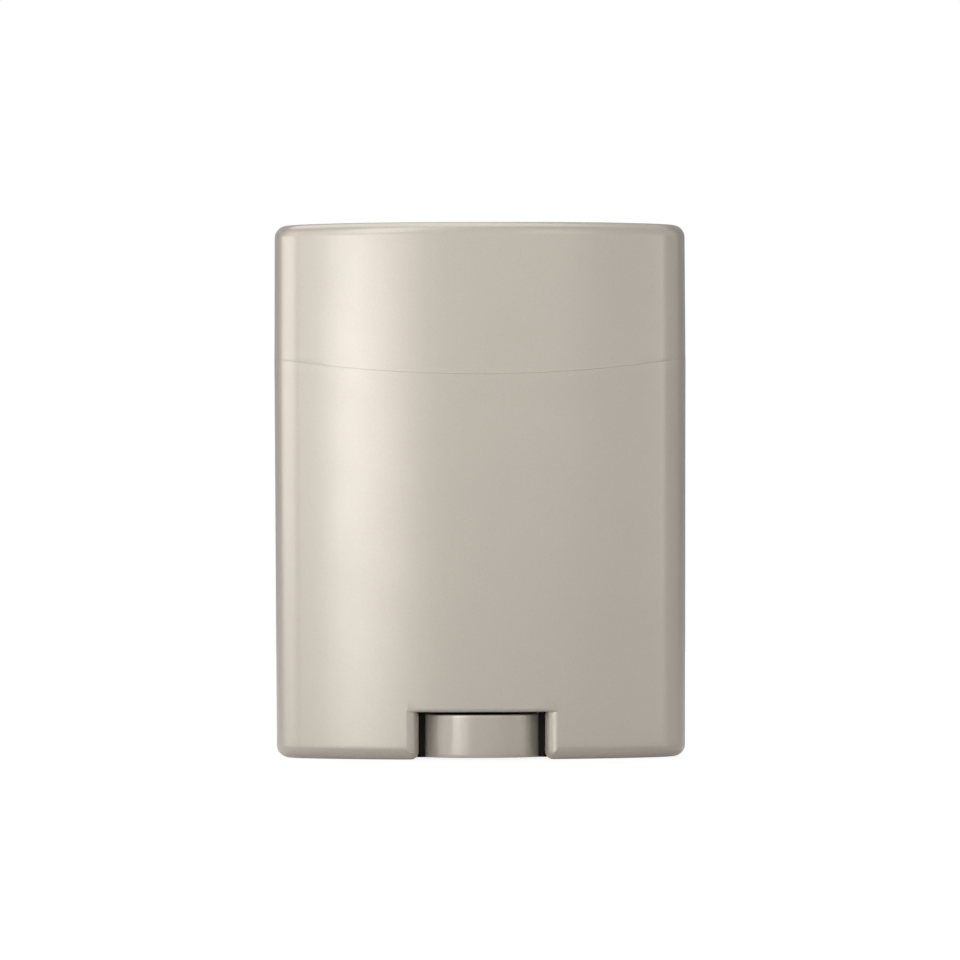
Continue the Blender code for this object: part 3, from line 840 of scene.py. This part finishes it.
def make_lamp(name, azimuth, elevation, width, height, brightness):
    """A softbox that faces the object. Its light is even: the power follows from its brightness and area."""
    light = bpy.data.lights.new(name, "AREA")
    light.shape = "RECTANGLE"
    light.size = width
    light.size_y = height
    light.energy = brightness * pi * width * height
    light.color = cool_white if name in cool_lamps else white
    lamp = bpy.data.objects.new(name, light)
    bpy.context.scene.collection.objects.link(lamp)
    middle = Vector((0, 0, overall_height / 2))
    level = lamp_distance * cos(elevation)
    away = Vector((level * sin(azimuth), -level * cos(azimuth), lamp_distance * sin(elevation)))
    lamp.location = middle + away
    aim(lamp, middle)
    lamp.visible_camera = False
    lamp.visible_glossy = name not in lamps_without_gloss


def seen_by(tree, shares):
    """The share of the white that each kind of ray sees. The light that falls on things gets none."""
    path = tree.nodes.new("ShaderNodeLightPath")
    largest = None
    for kind, share in shares.items():
        part = tree.nodes.new("ShaderNodeMath")
        part.operation = "MULTIPLY"
        part.inputs[1].default_value = share
        tree.links.new(path.outputs[kind], part.inputs[0])
        if largest is None:
            largest = part.outputs[0]
            continue
        either = tree.nodes.new("ShaderNodeMath")
        either.operation = "MAXIMUM"
        tree.links.new(largest, either.inputs[0])
        tree.links.new(part.outputs[0], either.inputs[1])
        largest = either.outputs[0]
    return largest


def background(tree, strength):
    node = tree.nodes.new("ShaderNodeBackground")
    node.inputs["Color"].default_value = (*white, 1)
    node.inputs["Strength"].default_value = strength
    return node.outputs["Background"]


def make_world():
    """White to the rays that look at it, and a faint even light on the object."""
    world = bpy.data.worlds.new("white_studio")
    world.use_nodes = True
    tree = world.node_tree
    tree.nodes.clear()
    output = tree.nodes.new("ShaderNodeOutputWorld")
    choice = tree.nodes.new("ShaderNodeMixShader")
    direct = seen_by(tree, {"Is Camera Ray": 1, "Is Glossy Ray": 1, "Is Transmission Ray": 1})
    tree.links.new(direct, choice.inputs["Fac"])
    tree.links.new(background(tree, ambient), choice.inputs[1])
    tree.links.new(background(tree, 1), choice.inputs[2])
    tree.links.new(choice.outputs["Shader"], output.inputs["Surface"])
    bpy.context.scene.world = world


def make_floor():
    """A pale floor that shows white and keeps a soft shadow. The camera doesn't see its far part."""
    near = skin("studio_floor", [circle_ring(floor_near, floor_bottom), circle_ring(floor_near, 0)])
    edges = [(floor_near, floor_bottom), (floor_far, floor_bottom), (floor_far, 0), (floor_near, 0)]
    far = skin("studio_floor_far", [circle_ring(radius, z) for radius, z in edges], joined=True)
    far.visible_camera = False
    material, tree, shader = new_material("white_floor", scaled(white, floor_tone), matt_roughness)
    glow = tree.nodes.new("ShaderNodeEmission")
    glow.inputs["Color"].default_value = (*white, 1)
    glow.inputs["Strength"].default_value = floor_glow
    direct = 1 - floor_share
    shares = {"Is Camera Ray": direct, "Is Transmission Ray": direct, "Is Glossy Ray": floor_in_gloss}
    mix = tree.nodes.new("ShaderNodeMixShader")
    tree.links.new(seen_by(tree, shares), mix.inputs["Fac"])
    tree.links.new(shader.outputs["BSDF"], mix.inputs[1])
    tree.links.new(glow.outputs["Emission"], mix.inputs[2])
    tree.links.new(mix.outputs["Shader"], tree.nodes["Material Output"].inputs["Surface"])
    for floor in (near, far):
        floor.data.materials.append(material)


def make_flag(name, near_edge, far_edge):
    """A dark curved card behind the object that only its reflections see, to keep its sides dark."""
    front = []
    for step in range(flag_steps + 1):
        angle = near_edge + (far_edge - near_edge) * step / flag_steps
        front.append((flag_distance * sin(angle), -flag_distance * cos(angle)))
    outline = front + [scaled(point, flag_back) for point in reversed(front)]
    card = skin(name, [[(x, y, z) for x, y in outline] for z in (flag_foot, flag_top)])
    material, _, shader = new_material(name, scaled(white, flag_tone), matt_roughness)
    shader.inputs["Emission Color"].default_value = (*white, 1)
    shader.inputs["Emission Strength"].default_value = flag_glow
    card.data.materials.append(material)
    card.visible_camera = False
    card.visible_shadow = False
    card.visible_diffuse = False


def make_camera():
    """A long lens at the height of the object's middle, turned and rolled as in the photograph."""
    lens = bpy.data.cameras.new("camera")
    camera = bpy.data.objects.new("camera", lens)
    bpy.context.scene.collection.objects.link(camera)
    lens.sensor_width = sensor_width
    lens.lens = sensor_width * camera_distance * px_per_m / image_side
    lens.shift_x = (image_side / 2 - axis_x_px) / image_side
    lens.shift_y = (horizon_y_px - image_side / 2) / image_side
    lens.clip_end = camera_reach
    level = Vector((sin(camera_azimuth), -cos(camera_azimuth), 0)) * camera_distance
    camera.location = level + Vector((0, 0, eye_height))
    facing = Matrix.Rotation(camera_azimuth, 4, "Z") @ Matrix.Rotation(pi / 2, 4, "X")
    camera.rotation_mode = "QUATERNION"
    camera.rotation_quaternion = (facing @ Matrix.Rotation(camera_roll, 4, "Z")).to_quaternion()
    bpy.context.scene.camera = camera


paint = make_paint("champagne_pearl_paint", paint_roughness, paint_metallic)
dial_paint = make_paint("champagne_pearl_paint_on_dial", dial_paint_roughness, dial_paint_metallic)
natural, ivory, dark, acetal, rubber = [make_plastic(*plastic) for plastic in plastics]
balm = make_balm()

dress(make_cap(), paint, "cap", "cap_shell")
dress(make_liner(), natural, "cap", "cap_liner")
dress(make_body(), paint, "body", "body_shell")
# near-black housing: its own dark plastic and painted shade in the gaps round the dial
dress(make_housing(), dark, "body", "base_housing")
dress(make_barrel(), ivory, "body", "inner_barrel")
dress(make_dial(), dial_paint, "dial", "dial")
dress(make_bar(), balm, "bar", "sunscreen_bar")
for node, material in (("elevator", natural), ("lead_screw", acetal), ("spindle_o_ring", rubber)):
    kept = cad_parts[node]
    kept.data.materials.clear()
    kept.data.materials.append(material)

for lamp in lamps:
    make_lamp(*lamp)
for flag in flags:
    make_flag(*flag)
make_world()
make_floor()
make_camera()
bpy.context.scene.view_settings.view_transform = "Standard"
